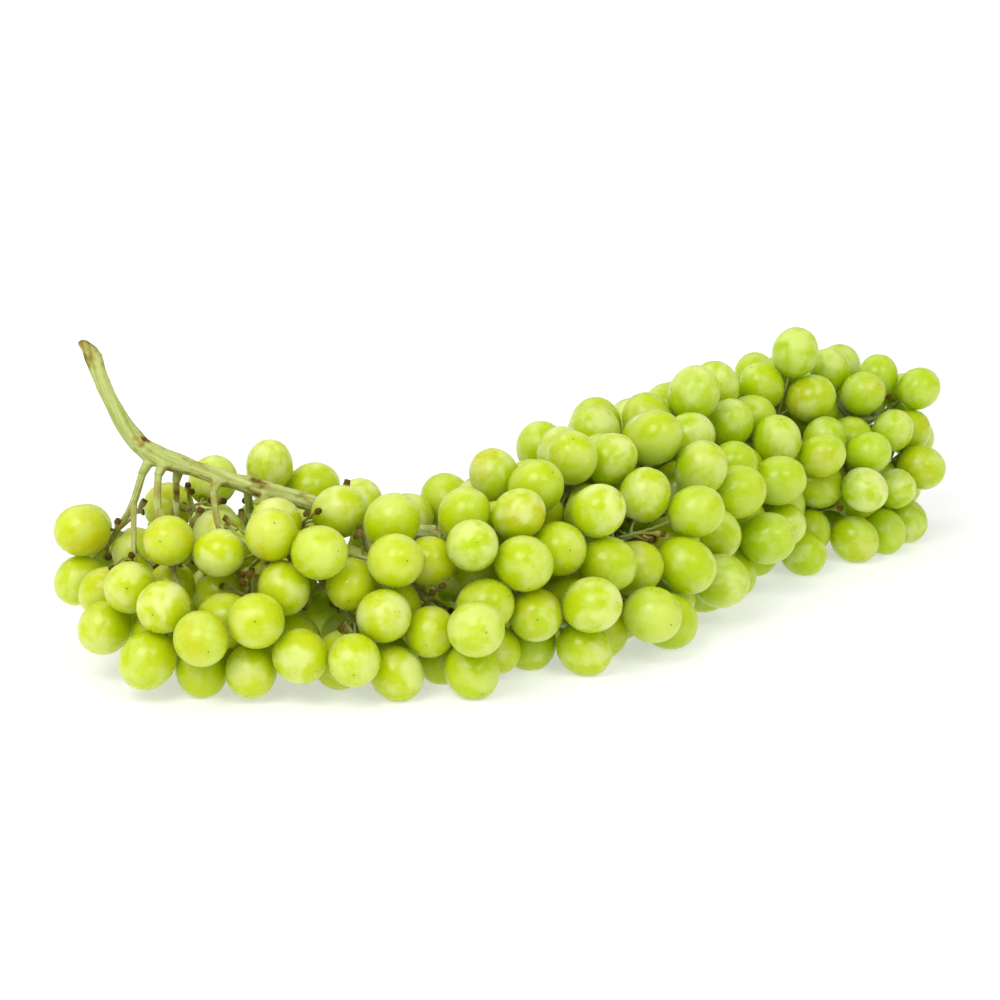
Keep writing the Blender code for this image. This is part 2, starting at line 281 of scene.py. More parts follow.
def clearBar(berry, bar):
    q, t = nearestOn(berry["centre"], bar[0], bar[1])
    distance = math.dist(q, berry["centre"])
    need = berry["radius"] + bar[2] + bunch["clearance"]
    if distance < need:
        berry["centre"] = plus(berry["centre"], minus(berry["centre"], q),
                               (need - distance) / max(distance, bunch["tiny"]))


# the berries crowd together as they grow: pulled home, kept apart, off the stalks and the floor
def settle(berries, bars):
    for step in range(bunch["settleSteps"]):
        pull = bunch["settlePull"] * (1 - step / bunch["settleSteps"])
        for berry in berries:
            berry["centre"] = plus(berry["centre"], minus(berry["home"], berry["centre"]), pull)
            berry["foot"] = pedicelFoot(berry)
        if step % bunch["neighbourEvery"] == 0:
            close = [(a, b) for i, a in enumerate(berries) for b in berries[:i]
                     if math.dist(a["centre"], b["centre"]) < bunch["neighbourReach"]]
            near = [(berry, bar) for berry in berries for bar in bars
                    if math.dist(berry["centre"], nearestOn(berry["centre"], bar[0], bar[1])[0])
                    < berry["radius"] + bar[2] + bunch["stalkReach"]]
        for a, b in close:
            partBerries(a, b)
        for a, b in close:
            clearPedicel(a, b)
            clearPedicel(b, a)
        for berry, bar in near:
            clearBar(berry, bar)
        for berry in berries:
            berry["centre"][2] = max(berry["centre"][2], berry["radius"] - bunch["floorPress"])
    for berry in berries:
        berry["foot"] = pedicelFoot(berry)


print("laying out the bunch")
rachisLine = smoothLine([placed(point) for point in rachisPoints], bunch["curveSteps"])
rachisSizes = rachisRadii(rachisLine)
sprays, bars = growSprays(rachisLine, rachisSizes)
allBerries = [berry for spray in sprays for berry in spray["berries"]]
settle(allBerries, bars)
print("berries:", len(allBerries))


def deselectAll():
    bpy.ops.object.select_all(action="DESELECT")
    bpy.context.view_layer.objects.active = None


def choose(objects):
    deselectAll()
    for obj in objects:
        obj.select_set(True)
    bpy.context.view_layer.objects.active = objects[0]


def applyModifiers(obj):
    choose([obj])
    for modifier in list(obj.modifiers):
        bpy.ops.object.modifier_apply(modifier=modifier.name)


def joinAs(name, objects):
    choose(objects)
    if len(objects) > 1:
        bpy.ops.object.join()
    obj = bpy.context.view_layer.objects.active
    obj.name = name
    obj.data.name = name
    return obj


# a mesh's points as rows of x, y, z
def pointsOf(mesh):
    points = np.empty(len(mesh.vertices) * 3)
    mesh.vertices.foreach_get("co", points)
    return points.reshape(-1, 3)


def addNode(tree, kind, **values):
    node = tree.nodes.new(kind)
    for key, value in values.items():
        setattr(node, key, value)
    return node


# plain values straight on a node's sockets
def setSockets(node, values):
    for name, value in values.items():
        node.inputs[name].default_value = value


def newMaterial(name):
    material = bpy.data.materials.new(name)
    material.use_nodes = True
    return material, material.node_tree, material.node_tree.nodes["Principled BSDF"]


def attributeNode(tree, name):
    return addNode(tree, "ShaderNodeAttribute", attribute_name=name)


# a vector attribute, and its three numbers
def attributeParts(tree, name):
    vector = attributeNode(tree, name).outputs["Vector"]
    parts = addNode(tree, "ShaderNodeSeparateXYZ")
    tree.links.new(vector, parts.inputs[0])
    return vector, parts.outputs


def noiseOn(tree, vector, scale, detail=2.0, roughness=0.5, distortion=0.0):
    node = addNode(tree, "ShaderNodeTexNoise")
    setSockets(node, {"Scale": scale, "Detail": detail, "Roughness": roughness, "Distortion": distortion})
    tree.links.new(vector, node.inputs["Vector"])
    return node.outputs["Fac"]


# a value stretched from one range to another
def ranged(tree, value, low, high, toLow=0.0, toHigh=1.0, smooth=True):
    node = addNode(tree, "ShaderNodeMapRange", interpolation_type="SMOOTHSTEP" if smooth else "LINEAR")
    setSockets(node, {"From Min": low, "From Max": high, "To Min": toLow, "To Max": toHigh})
    tree.links.new(value, node.inputs["Value"])
    return node.outputs["Result"]


def calc(tree, operation, a, b):
    node = addNode(tree, "ShaderNodeMath", operation=operation)
    for socket, value in zip(node.inputs, (a, b)):
        if isinstance(value, (int, float)):
            socket.default_value = value
        else:
            tree.links.new(value, socket)
    return node.outputs["Value"]


# second colour laid over the first where the factor says; a mix node has its colours at 6, 7 and 2
def blendColour(tree, factor, first, second):
    node = addNode(tree, "ShaderNodeMix", data_type="RGBA")
    sockets = (node.inputs["Factor"], node.inputs[6], node.inputs[7])
    for socket, value in zip(sockets, (factor, first, second)):
        if isinstance(value, tuple):
            socket.default_value = value
        else:
            tree.links.new(value, socket)
    return node.outputs[2]


def addBump(tree, shader, height, strength, depth):
    bump = addNode(tree, "ShaderNodeBump")
    setSockets(bump, {"Strength": strength, "Distance": depth})
    tree.links.new(height, bump.inputs["Height"])
    tree.links.new(bump.outputs["Normal"], shader.inputs["Normal"])


skin = {
    "ripe": (0.47, 0.55, 0.004, 1),
    "fresh": (0.36, 0.52, 0.003, 1),
    "amber": (0.50, 0.38, 0.010, 1),
    "vein": (0.56, 0.64, 0.10, 1),
    # pale waxy bloom, which also paints the berry's milky highlight
    "bloomAndHighlight": (0.63, 0.70, 0.29, 1),
    "scar": (0.10, 0.060, 0.012, 1),
    "speck": (0.26, 0.24, 0.03, 1),
    "apart": (37, 53, 29),          # moves one berry's pattern away from the next one's
    "ripePatches": 0.14,
    "amberFrom": 0.80,              # only berries with a draw above this turn amber on one side
    "amberMost": 0.34,
    "veinStretch": (4.2, 4.2, 1.1),
    "veinMost": 0.22,
    "openBloomAndLight": 0.20,              # how much more pale bloom, also a painted highlight, a berry keeps where it hangs free
    "bloomHighlightEdge": (0.56, 0.82),
    "bloomHighlightLeast": 0.22,
    "bloomHighlightMost": 0.80,
    "speckScale": 6.0,
    "speckSize": 0.09,
    "speckMost": 0.5,
    "scarEdge": (0.9950, 0.9985),
    "scarLeast": 0.45,
    "ringEdge": (-0.962, -0.985),
    "ringMost": 0.55,
    "bareRoughness": 0.25,
    "waxRoughness": 0.42,
    "bumpStrength": 0.16,
    "bumpDepth": 0.6 * mm,
    "surface": {
        "Subsurface Weight": 1.0,
        "Subsurface Radius": (1.0, 1.0, 0.12),      # how far red, green and blue go in the flesh
        "Subsurface Scale": 18 * mm,
        "Subsurface Anisotropy": 0.0,
        "IOR": 1.45,
        "Specular IOR Level": 0.20,
        "Coat Weight": 0.30,
        "Coat Roughness": 0.14,
        "Coat IOR": 1.5,
        "Sheen Weight": 0.60,
        "Sheen Roughness": 0.16,
        "Sheen Tint": (0.88, 1.0, 0.62, 1),
    },
}


# from fresh green to ripe yellow-green, a few berries turning amber on one side
def fleshColour(tree, own, ripeDraw, amberDraw):
    patches = ranged(tree, noiseOn(tree, own, scale=0.8, detail=2), 0.3, 0.7,
                     -skin["ripePatches"], skin["ripePatches"], smooth=False)
    ripeness = ranged(tree, calc(tree, "ADD", ripeDraw, patches), 0.0, 1.0, smooth=False)
    colour = blendColour(tree, ripeness, skin["fresh"], skin["ripe"])
    turning = calc(tree, "MULTIPLY", ranged(tree, amberDraw, skin["amberFrom"], 1.0, 0, skin["amberMost"]),
                   ranged(tree, noiseOn(tree, own, scale=0.9, detail=1), 0.42, 0.66))
    return blendColour(tree, turning, colour, skin["amber"])


# faint pale veins that run from stalk to scar
def addVeins(tree, colour, own):
    stretched = addNode(tree, "ShaderNodeMapping")
    stretched.inputs["Scale"].default_value = skin["veinStretch"]
    tree.links.new(own, stretched.inputs["Vector"])
    strands = noiseOn(tree, stretched.outputs["Vector"], scale=1.5, detail=5, roughness=0.62, distortion=0.6)
    return blendColour(tree, ranged(tree, strands, 0.52, 0.68, 0, skin["veinMost"]), colour, skin["vein"])


# waxy bloom that also paints the berry's pale milky highlight: patchy, thick where the berry hangs free, and
# rubbed off where berries touch or rest on the floor, which paints shade there
def waxAndHighlightCover(tree, own, openAirLit):
    cloud = noiseOn(tree, own, scale=1.2, detail=4, roughness=0.55, distortion=0.2)
    cloud = calc(tree, "ADD", cloud, calc(tree, "MULTIPLY", openAirLit, skin["openBloomAndLight"]))
    return ranged(tree, cloud, *skin["bloomHighlightEdge"])


# tiny specks, the style scar at the tip, and the brown ring where the stalk goes in
def addMarks(tree, colour, own, height, scarDraw):
    cells = addNode(tree, "ShaderNodeTexVoronoi")
    cells.inputs["Scale"].default_value = skin["speckScale"]
    tree.links.new(own, cells.inputs["Vector"])
    dots = ranged(tree, cells.outputs["Distance"], 0.0, skin["speckSize"], skin["speckMost"], 0.0)
    specks = calc(tree, "MULTIPLY", dots, ranged(tree, noiseOn(tree, own, scale=2.2, detail=1), 0.56, 0.62))
    colour = blendColour(tree, specks, colour, skin["speck"])
    tip = calc(tree, "MULTIPLY", ranged(tree, height, *skin["scarEdge"]),
               ranged(tree, scarDraw, 0.0, 0.8, skin["scarLeast"], 1.0))
    ring = calc(tree, "MULTIPLY", ranged(tree, height, *skin["ringEdge"]), skin["ringMost"])
    return blendColour(tree, calc(tree, "MAXIMUM", tip, ring), colour, skin["scar"])


def skinMaterial():
    material, tree, shader = newMaterial("grape_skin")
    link = tree.links.new
    form, (_, _, height) = attributeParts(tree, "form")
    tone, (ripeDraw, markDraw, bloomHighlightDraw) = attributeParts(tree, "tone")
    # how free each point is: low where berries touch or meet the floor, where the thinner bloom is painted
    # shade
    openAirLit = attributeNode(tree, "openAirLit").outputs["Fac"]
    away = addNode(tree, "ShaderNodeVectorMath", operation="MULTIPLY_ADD")
    link(tone, away.inputs[0])
    away.inputs[1].default_value = skin["apart"]
    link(form, away.inputs[2])
    own = away.outputs["Vector"]

    colour = addVeins(tree, fleshColour(tree, own, ripeDraw, markDraw), own)
    waxAndHighlight = waxAndHighlightCover(tree, own, openAirLit)
    thick = ranged(tree, bloomHighlightDraw, 0.0, 1.0, skin["bloomHighlightLeast"], skin["bloomHighlightMost"], smooth=False)
    # pale bloom over the flesh, partly real wax and partly a painted highlight, thinner where berries touch
    # as painted shade
    colour = blendColour(tree, calc(tree, "MULTIPLY", waxAndHighlight, thick), colour, skin["bloomAndHighlight"])
    link(addMarks(tree, colour, own, height, markDraw), shader.inputs["Base Color"])

    rough = ranged(tree, waxAndHighlight, 0.0, 1.0, skin["bareRoughness"], skin["waxRoughness"], smooth=False)
    uneven = ranged(tree, noiseOn(tree, own, scale=9, detail=3), 0.3, 0.7, -0.03, 0.05, smooth=False)
    link(calc(tree, "ADD", rough, uneven), shader.inputs["Roughness"])
    setSockets(shader, skin["surface"])
    fine = calc(tree, "MULTIPLY", noiseOn(tree, own, scale=9, detail=4, roughness=0.6), 0.25)
    dents = calc(tree, "ADD", noiseOn(tree, own, scale=2.4, detail=2), fine)
    addBump(tree, shader, dents, skin["bumpStrength"], skin["bumpDepth"])
    return material


stalkFinish = {
    "green": (0.34, 0.41, 0.085, 1),
    "pale": (0.54, 0.59, 0.22, 1),
    "tan": (0.34, 0.30, 0.065, 1),
    "brown": (0.105, 0.058, 0.003, 1),
    "grey": (0.16, 0.14, 0.03, 1),
    "greyMost": 0.35,
    "patchScale": 160,
    "greyScale": 420,
    "patchWood": (-0.25, 0.32),     # how much less or more woody the patches and the fibres make it
    "fibreWood": (0.16, -0.16),
    "tanEdge": (0.22, 0.72),
    "brownEdge": (0.62, 1.20),
    "roughness": (0.46, 0.68),
    "bumpStrength": 0.6,
    "bumpDepth": 0.6 * mm,
    "surface": {
        "Specular IOR Level": 0.18,
        "Subsurface Weight": 0.25,
        "Subsurface Radius": (1.0, 0.9, 0.3),
        "Subsurface Scale": 1.2 * mm,
    },
}


def stalkMaterial():
    material, tree, shader = newMaterial("green_stalk")
    link = tree.links.new
    place = addNode(tree, "ShaderNodeTexCoord").outputs["Object"]
    wood = attributeNode(tree, "wood").outputs["Fac"]
    grain = attributeNode(tree, "grain").outputs["Vector"]
    fibres = noiseOn(tree, grain, scale=1, detail=4, roughness=0.6)
    patches = noiseOn(tree, place, stalkFinish["patchScale"], detail=3, roughness=0.6)
    dust = noiseOn(tree, place, stalkFinish["greyScale"], detail=3, roughness=0.6)

    # green with pale fibres, then tan and brown where it is woody, and grey dust over it
    colour = blendColour(tree, ranged(tree, fibres, 0.32, 0.68), stalkFinish["green"], stalkFinish["pale"])
    patchy = ranged(tree, patches, 0.35, 0.75, *stalkFinish["patchWood"], smooth=False)
    streaky = ranged(tree, fibres, 0.3, 0.7, *stalkFinish["fibreWood"], smooth=False)
    woody = calc(tree, "ADD", calc(tree, "ADD", wood, patchy), streaky)
    for finish in ("tan", "brown"):
        edge = ranged(tree, woody, *stalkFinish[finish + "Edge"])
        colour = blendColour(tree, edge, colour, stalkFinish[finish])
    dusty = ranged(tree, dust, 0.58, 0.72, 0, stalkFinish["greyMost"])
    link(blendColour(tree, dusty, colour, stalkFinish["grey"]), shader.inputs["Base Color"])

    rough = ranged(tree, patches, 0.3, 0.7, *stalkFinish["roughness"], smooth=False)
    link(rough, shader.inputs["Roughness"])
    setSockets(shader, stalkFinish["surface"])
    ribs = calc(tree, "ADD", fibres, calc(tree, "MULTIPLY", patches, 0.5))
    addBump(tree, shader, ribs, stalkFinish["bumpStrength"], stalkFinish["bumpDepth"])
    return material


berryForm = {
    "seed": 31,                     # of each berry's and stalk's own form and tone
    "segments": 8,
    "rings": 6,
    "rounding": 2,
    "length": 1.095,                # half its length in berry radii
    "width": 0.992,
    "widthSpread": 0.015,
    "lengthSpread": 0.03,
    "pole": 0.9999,
    "tipDimple": 0.030,
    "tipReach": 0.22,
    "footDimple": 0.085,
    "footReach": 0.42,
    "middleRipeness": 0.5,
    "ripenTowardStalk": 2.2,        # change of ripeness per metre
    "ripeSpread": 0.16,
    # how far from a neighbour or the floor the bloom thins, a painted shade between berries and underneath
    "rubAndShadeReach": 4.2 * mm,
    "neighbourReach": 30 * mm,
}


def selectWhere(test):
    bpy.ops.mesh.select_all(action="DESELECT")
    bpy.ops.object.mode_set(mode="OBJECT")
    for vert in bpy.context.object.data.vertices:
        vert.select = test(vert.co)
    bpy.ops.object.mode_set(mode="EDIT")


# moves the chosen points up or down and draws the skin round them along
def pushPole(rise, reach):
    bpy.ops.transform.translate(value=(0, 0, rise), use_proportional_edit=True,
                                proportional_edit_falloff="SMOOTH", proportional_size=reach)


# one berry, modelled once: its shallow hollow for the stalk, and the flat round its style scar
def berryPattern():
    deselectAll()
    bpy.ops.mesh.primitive_uv_sphere_add(segments=berryForm["segments"], ring_count=berryForm["rings"],
                                         radius=1)
    obj = bpy.context.object
    obj.name = "berryPattern"
    smooth = obj.modifiers.new("Round", "SUBSURF")
    smooth.levels = berryForm["rounding"]
    smooth.render_levels = berryForm["rounding"]
    applyModifiers(obj)
    width = max(vert.co.x for vert in obj.data.vertices)
    height = max(vert.co.z for vert in obj.data.vertices)
    bpy.ops.object.mode_set(mode="EDIT")
    bpy.ops.mesh.select_all(action="SELECT")
    bpy.ops.transform.resize(value=(1 / width, 1 / width, 1 / height))
    selectWhere(lambda co: co.z < -berryForm["pole"])
    pushPole(berryForm["footDimple"], berryForm["footReach"])
    selectWhere(lambda co: co.z > berryForm["pole"])
    pushPole(-berryForm["tipDimple"], berryForm["tipReach"])
    bpy.ops.object.mode_set(mode="OBJECT")
    bpy.ops.object.shade_smooth()
    form = obj.data.attributes.new("form", "FLOAT_VECTOR", "POINT")
    places = np.array([vert.co.normalized() for vert in obj.data.vertices], np.float32)
    form.data.foreach_set("vector", places.ravel())
    return obj


def setAll(mesh, name, value):
    layer = mesh.attributes.new(name, "FLOAT_VECTOR", "POINT")
    layer.data.foreach_set("vector", np.tile(np.array(value, np.float32), len(mesh.vertices)))


# how free each point of a berry is: 0 against a neighbour or the floor, 1 in the open; where it is low the
# pale bloom thins, which paints shade between berries and underneath
def paintOpenAirLit(mesh, berry):
    points = pointsOf(mesh)
    touch = np.exp(-(points[:, 2] / berryForm["rubAndShadeReach"]) ** 2)
    for other in allBerries:
        if other is not berry and math.dist(other["centre"], berry["centre"]) < berryForm["neighbourReach"]:
            gap = np.linalg.norm(points - np.array(other["centre"]), axis=1) - other["radius"]
            touch += np.exp(-(gap / berryForm["rubAndShadeReach"]) ** 2)
    layer = mesh.attributes.new("openAirLit", "FLOAT", "POINT")
    layer.data.foreach_set("value", np.clip(1 - touch, 0, 1).astype(np.float32))


def makeBerry(pattern, berry, draw):
    obj = pattern.copy()
    obj.data = pattern.data.copy()
    bpy.context.scene.collection.objects.link(obj)
    centre, foot = Vector(berry["centre"]), Vector(berry["foot"])
    axis = (centre - foot).normalized()
    wide = berryForm["width"] + draw.uniform(-1, 1) * berryForm["widthSpread"]
    deep = berryForm["width"] + draw.uniform(-1, 1) * berryForm["widthSpread"]
    long = berryForm["length"] + draw.uniform(-1, 1) * berryForm["lengthSpread"]
    turn = axis.to_track_quat("Z", "Y").to_matrix().to_4x4()
    spin = Matrix.Rotation(draw.uniform(0, 2 * math.pi), 4, "Z")
    size = Matrix.Diagonal((wide * berry["radius"], deep * berry["radius"], long * berry["radius"], 1))
    obj.data.transform(Matrix.Translation(centre) @ turn @ spin @ size)
    # a berry that lies on the floor is pressed flat there
    for vert in obj.data.vertices:
        vert.co.z = max(vert.co.z, 0)
    ripe = (berryForm["middleRipeness"] - centre.x * berryForm["ripenTowardStalk"]
            + draw.uniform(-1, 1) * berryForm["ripeSpread"])
    setAll(obj.data, "tone", (ripe, draw.random(), draw.random()))
    paintOpenAirLit(obj.data, berry)
    return obj


twig = {
    "rootRadius": 1.7 * mm,
    "branchRadius": 0.9 * mm,
    "tipRadius": 0.75 * mm,
    "lateralSteps": 4,              # points on each of a lateral's four stretches
    "rootFade": 3,                  # points over which its thick root thins
    "lateralDry": 0.45,
    "stoutest": 1.12,               # in lateral radii; a drier lateral has shrunk
    "shrinkDry": 0.6,
    "lateralWood": 0.05,
    "lateralEndWood": 0.3,
    "lateralWoodSpread": 0.2,
    "branchPoints": 8,
    "branchBow": 1.0 * mm,
    "branchFlare": 0.35,
    "branchThin": 0.2 * mm,
    "branchWood": 0.25,
    "branchWoodSpread": 0.35,
    "pedicelPoints": 8,
    "pedicelRadius": 0.42 * mm,
    "pedicelBow": 0.10,
    "pedicelBowMost": 0.7 * mm,
    "pedicelSink": 0.3 * mm,        # how far it goes into its berry
    "footFlare": 0.8,               # how much it swells where it leaves its branch
    "footFade": 9,
    "knobRadius": 1.4 * mm,
    "knobLength": 1.9 * mm,
    "knobMost": 0.9,
    "knobCurve": 1.6,
    "knobWood": 0.4,
    "dryShare": 0.35,
    "dryWood": 0.75,
    "freshWood": 0.25,
    "woodSpread": 0.12,
    "barePoints": 9,
    "bareBow": 0.06,
    "bareWood": 0.40,
    "bareEndWood": 0.35,
    "bareWoodSpread": (-0.15, 0.2),
    # the swollen end that held a berry: points from the end, radius in twig radii, woodiness
    "bareKnob": ((3, 1.5, 0.60), (2, 2.8, 0.75), (1, 2.4, 1.5)),
    "bareReach": 18 * mm,
    "bareLeast": 5 * mm,
    "bareLengths": (7, 17),         # in millimetres
    "bareClear": 1.5 * mm,
    "bareFloorGap": 2.0 * mm,
    "bareStep": 1.0 * mm,
    "bareNear": 45 * mm,
    "bareTries": 70,
    "bareFrom": 0.45,
    "bareApart": 0.55,
    "barePerBranch": 3,
    "bareForkFrom": 9 * mm,         # only a twig longer than this forks
    "bareForkPlace": 0.55,
    "bareForkTurn": 0.9,
    "bareForkRoom": 4.5 * mm,
    "bareForkLength": 4.2 * mm,
    "grainRound": 2.4,
    "grainLength": 10 * mm,
    "grainSpread": 50,
    "leastLength": 1e-9,            # keeps a length from being nothing
}


# woodiness from the nearest point of the line, and coordinates that run along and round it
def paintAlong(mesh, line, woods, grainStart=0.0):
    line = np.array(line)
    points = pointsOf(mesh)
    runs = np.diff(line, axis=0)
    lengths = np.maximum(np.linalg.norm(runs, axis=1), twig["leastLength"])
    starts = np.concatenate([[0], np.cumsum(lengths)])
    best = np.full(len(points), np.inf)
    along = np.zeros(len(points))
    wood = np.zeros(len(points))
    spokes = np.zeros((len(points), 3))
    for i, run in enumerate(runs):
        t = np.clip(((points - line[i]) @ run) / lengths[i] ** 2, 0, 1)
        spoke = points - line[i] - t[:, None] * run
        away = np.linalg.norm(spoke, axis=1)
        near = away < best
        best[near] = away[near]
        along[near] = starts[i] + t[near] * lengths[i]
        wood[near] = woods[i] + (woods[i + 1] - woods[i]) * t[near]
        spokes[near] = spoke[near] / np.maximum(away[near], twig["leastLength"])[:, None]
    grain = spokes * twig["grainRound"]
    grain[:, 0] += along / twig["grainLength"] + grainStart
    layer = mesh.attributes.new("wood", "FLOAT", "POINT")
    layer.data.foreach_set("value", wood.astype(np.float32))
    layer = mesh.attributes.new("grain", "FLOAT_VECTOR", "POINT")
    layer.data.foreach_set("vector", grain.astype(np.float32).ravel())
    return points, along, spokes


# a tube along a line with a radius and a woodiness at each point, and its grain running along it
def tube(name, line, radii, woods, resolution=2, grainStart=0.0):
    curve = bpy.data.curves.new(name, "CURVE")
    curve.dimensions = "3D"
    curve.bevel_depth = 1.0
    curve.bevel_resolution = resolution
    curve.use_fill_caps = True
    spline = curve.splines.new("POLY")
    spline.points.add(len(line) - 1)
    for point, place, radius in zip(spline.points, line, radii):
        point.co = (*place, 1.0)
        point.radius = radius
    obj = bpy.data.objects.new(name, curve)
    bpy.context.scene.collection.objects.link(obj)
    choose([obj])
    bpy.ops.object.convert(target="MESH")
    obj = bpy.context.object
    bpy.ops.object.mode_set(mode="EDIT")
    bpy.ops.mesh.select_all(action="SELECT")
    bpy.ops.mesh.remove_doubles(threshold=bunch["tiny"])
    bpy.ops.mesh.normals_make_consistent(inside=False)
    bpy.ops.object.mode_set(mode="OBJECT")
    bpy.ops.object.shade_smooth()
    paintAlong(obj.data, line, woods, grainStart)
    return obj


# a tube that starts anywhere in the grain, so that no two look alike
def stalkTube(name, line, radii, woods, draw, resolution=2):
    return tube(name, line, radii, woods, resolution, draw.uniform(0, twig["grainSpread"]))


def straight(start, end, count):
    return [plus(start, minus(end, start), k / (count - 1)) for k in range(count)]


def bowed(start, end, bow, count, draw):
    side = unit(cross(minus(end, start), (draw.uniform(-1, 1), draw.uniform(-1, 1), draw.uniform(-1, 1))))
    return [plus(place, side, bow * math.sin(math.pi * k / (count - 1)))
            for k, place in enumerate(straight(start, end, count))]


# how thick a pedicel or bare twig is for its radius: swollen where it leaves its branch
def flare(t):
    return 1 + twig["footFlare"] * math.exp(-t * twig["footFade"])


def makePedicel(berry, draw):
    foot = berry["foot"]
    axis = unit(minus(berry["centre"], foot))
    hollow = berry["radius"] * (berryForm["length"] - berryForm["footDimple"])
    reach = math.dist(berry["centre"], foot) - hollow
    end = plus(foot, axis, reach + twig["pedicelSink"])
    count = twig["pedicelPoints"]
    line = bowed(foot, end, min(twig["pedicelBow"] * reach, twig["pedicelBowMost"]), count, draw)
    knob = min(twig["knobMost"], twig["knobLength"] / max(reach, 0.1 * mm))
    dry = twig["dryWood"] if draw.random() < twig["dryShare"] else twig["freshWood"]
    radii = []
    woods = []
    for k in range(count):
        t = k / (count - 1)
        near = max(0.0, (t - (1 - knob)) / knob)
        swell = (twig["knobRadius"] - twig["pedicelRadius"]) * near ** twig["knobCurve"]
        radii.append(twig["pedicelRadius"] * flare(t) + swell)
        spread = draw.uniform(-twig["woodSpread"], twig["woodSpread"])
        woods.append(dry + twig["knobWood"] * near + spread)
    return stalkTube("pedicel", line, radii, woods, draw)


# how far a bare twig can reach before it comes near a berry or the floor
def freeReach(start, way, berries):
    reach = 0.0
    while reach < twig["bareReach"]:
        tip = plus(start, way, reach + twig["bareStep"])
        if tip[2] < twig["bareFloorGap"]:
            break
        if any(math.dist(tip, berry["centre"]) < berry["radius"] + twig["bareClear"] for berry in berries):
            break
        reach += twig["bareStep"]
    return reach


def bareTwig(start, end, draw):
    count = twig["barePoints"]
    line = bowed(start, end, twig["bareBow"] * math.dist(start, end), count, draw)
    shares = [k / (count - 1) for k in range(count)]
    radii = [twig["pedicelRadius"] * flare(t) for t in shares]
    woods = [twig["bareWood"] + twig["bareEndWood"] * t + draw.uniform(*twig["bareWoodSpread"])
             for t in shares]
    for back, share, brown in twig["bareKnob"]:
        radii[-back] = twig["pedicelRadius"] * share
        woods[-back] = brown
    return stalkTube("bareTwig", line, radii, woods, draw)


# the ways out from a branch on which a twig would have room, freest first
def openWays(branch, berries, draw):
    ways = []
    for k in range(twig["bareTries"]):
        height = draw.uniform(-1, 1)
        angle = draw.uniform(0, 2 * math.pi)
        width = math.sqrt(1 - height * height)
        way = [width * math.cos(angle), width * math.sin(angle), height]
        start = plus(branch[0], minus(branch[1], branch[0]), draw.uniform(twig["bareFrom"], 1.0))
        reach = freeReach(start, way, berries)
        if reach >= twig["bareLeast"]:
            ways.append((reach, way, start))
    return sorted(ways, key=lambda found: -found[0])


# bare twigs whose berries have dropped, a few on each branch and well apart
def bareTwigs(branch, draw):
    middle = plus(branch[0], minus(branch[1], branch[0]), 0.5)
    close = [berry for berry in allBerries if math.dist(berry["centre"], middle) < twig["bareNear"]]
    kept = []
    for reach, way, start in openWays(branch, close, draw):
        apart = all(dot(way, other[1]) < twig["bareApart"] for other in kept)
        if apart and len(kept) < twig["barePerBranch"]:
            kept.append((reach, way, start))
    pieces = []
    for reach, way, start in kept:
        length = min(reach, draw.uniform(*twig["bareLengths"]) * mm)
        pieces.append(bareTwig(start, plus(start, way, length), draw))
        # a second knob forks off a long one
        if length > twig["bareForkFrom"]:
            fork = plus(start, way, length * twig["bareForkPlace"])
            across = unit(cross(way, (draw.uniform(-1, 1), draw.uniform(-1, 1), 1)))
            side = unit(plus(way, across, twig["bareForkTurn"]))
            if freeReach(fork, side, close) > twig["bareForkRoom"]:
                pieces.append(bareTwig(fork, plus(fork, side, twig["bareForkLength"]), draw))
    return pieces


# a spray's lateral runs on into its first branch, thick at the root and thinner past the fork
def makeLateral(spray, draw):
    start, elbow, fork = spray["stalk"]
    first = spray["branches"][0]
    middle = plus(first[0], minus(first[1], first[0]), 0.5)
    line = smoothLine([start, elbow, fork, middle, first[1]], twig["lateralSteps"])
    last = len(line) - 1
    forkAt = 2 * twig["lateralSteps"]
    dry = draw.uniform(0.0, twig["lateralDry"])
    radius = bunch["lateralRadius"] * (twig["stoutest"] - twig["shrinkDry"] * dry)
    radii = [twig["rootRadius"] + (radius - twig["rootRadius"]) * min(1, k / twig["rootFade"]) if k < forkAt
             else radius + (twig["tipRadius"] - radius) * (k - forkAt) / (last - forkAt)
             for k in range(len(line))]
    woods = [twig["lateralWood"] + dry + twig["lateralEndWood"] * k / len(line)
             + twig["lateralWoodSpread"] * draw.random() for k in range(len(line))]
    return stalkTube("lateral", line, radii, woods, draw, resolution=3)


def makeBranch(branch, draw):
    count = twig["branchPoints"]
    line = bowed(branch[0], branch[1], twig["branchBow"], count, draw)
    radii = [twig["branchRadius"] * (1 + twig["branchFlare"] * math.exp(-k))
             - twig["branchThin"] * k / (count - 1) for k in range(count)]
    woods = [twig["branchWood"] + twig["branchWoodSpread"] * draw.random() for k in range(count)]
    return stalkTube("branch", line, radii, woods, draw)


def makeStalks(spray, draw):
    pieces = [makeLateral(spray, draw)]
    pieces += [makeBranch(branch, draw) for branch in spray["branches"][1:]]
    pieces += [makePedicel(berry, draw) for berry in spray["berries"]]
    for branch in spray["branches"]:
        pieces += bareTwigs(branch, draw)
    return pieces


